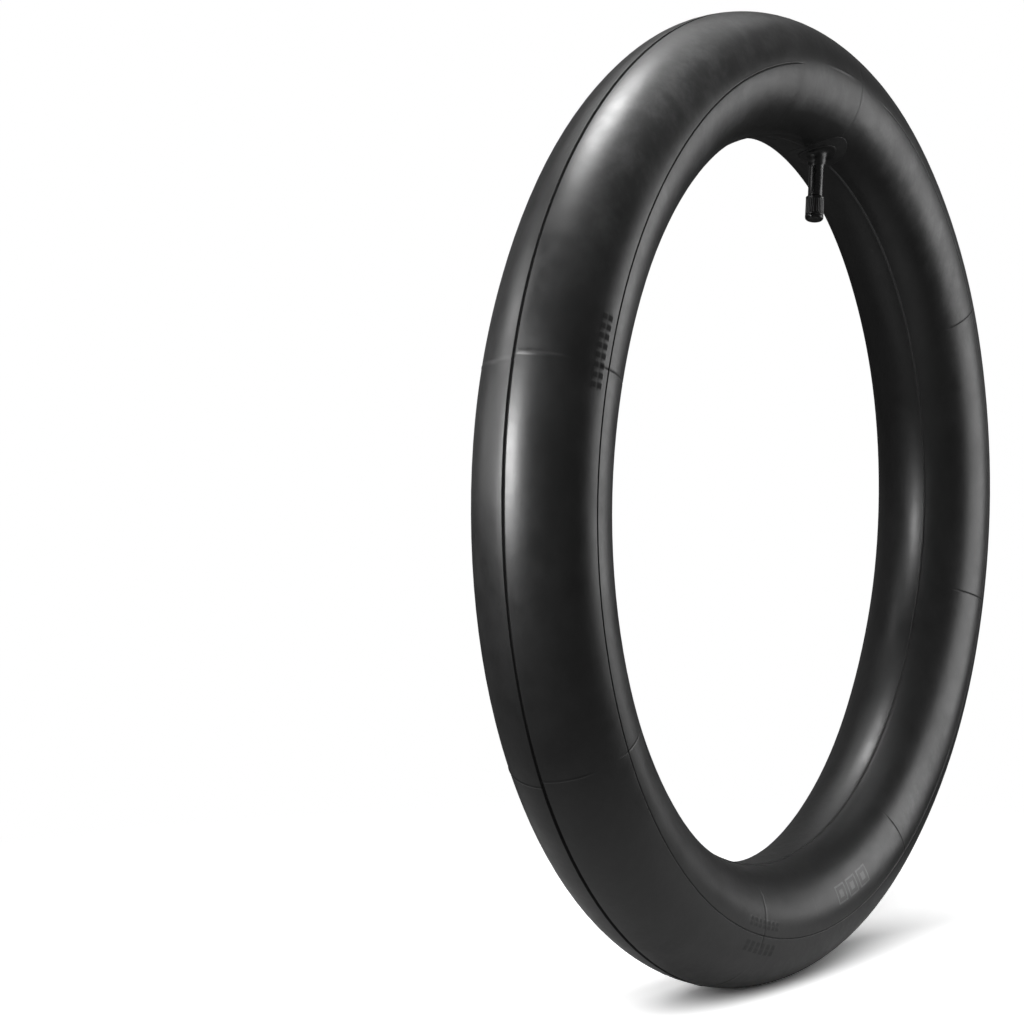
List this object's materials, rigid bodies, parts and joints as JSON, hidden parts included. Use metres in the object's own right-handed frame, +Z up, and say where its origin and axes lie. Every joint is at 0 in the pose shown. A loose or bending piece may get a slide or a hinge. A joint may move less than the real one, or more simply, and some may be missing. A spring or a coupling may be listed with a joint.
{
  "type": "inner tube",
  "caption": "Inflated bicycle inner tube: a hollow rubber ring of round section with a rubber-covered Schrader valve, screw-in core and screw cap.",
  "frame": {"origin": "centre of the ring, on its axle and in its middle plane", "axes": "+Y along the ring's axle, +Z up as the tube stands on its crown, +X along the ring's middle plane; the valve is at the top, turned 14.4 degrees from +Z towards +X"},
  "size_m": [0.548, 0.071, 0.548],
  "materials": {
    "butyl": "semi-matte black butyl with faint mould lines, pale talc smudges and a soft sheen",
    "patch_rubber": "matte black rubber, slightly rough",
    "stem_rubber": "smooth black moulded rubber, glossy",
    "cap_plastic": "black moulded plastic, satin sides and glossy rounded end",
    "brass": "machined brass, satin",
    "spring_steel": "bright drawn wire",
    "seal_red": "red sealing compound, matte",
    "seal_black": "black nitrile, matte"
  },
  "bodies": {
    "root": {"tube_casing": "butyl", "valve_base_patch": "patch_rubber", "stem_rubber": "stem_rubber", "stem_insert": "brass"},
    "cap_seal": {"cap_washer": "seal_black"},
    "cap": {"valve_cap": "cap_plastic"},
    "core": {"core_barrel": "brass", "core_packing": "seal_red", "core_spring": "spring_steel"},
    "core_nut": {"core_plug": "brass"},
    "pin": {"core_pin": "brass", "core_cup": "brass", "core_seat_washer": "seal_black"}
  },
  "joints": [
    {"name": "cap_travel", "type": "slide", "parent": "root", "child": "cap_seal", "axis": [-0.2479, -0.0785, -0.9656], "range_m": [0, 0.00635]},
    {"name": "cap_turn", "type": "hinge", "parent": "cap_seal", "child": "cap", "pos_m": [0.05074, -0.00847, 0.19762], "axis": [-0.2479, -0.0785, -0.9656], "range_deg": [0, 2880]},
    {"name": "core_travel", "type": "slide", "parent": "root", "child": "core", "axis": [-0.2479, -0.0785, -0.9656], "range_m": [0, 0.00282]},
    {"name": "core_turn", "type": "hinge", "parent": "core", "child": "core_nut", "pos_m": [0.05074, -0.00847, 0.19762], "axis": [-0.2479, -0.0785, -0.9656], "range_deg": [0, 1440]},
    {"name": "pin_press", "type": "slide", "parent": "core", "child": "pin", "axis": [0.2479, 0.0785, 0.9656], "range_m": [0, 0.0012], "stiffness_N_per_m": 1500, "springref_m": -0.0015, "deforming": ["core_spring"]}
  ],
  "couplings": [
    {"joint": "cap_turn", "follows": "cap_travel", "rad_per_m": 7913.3},
    {"joint": "core_turn", "follows": "core_travel", "rad_per_m": 8904.7}
  ]
}
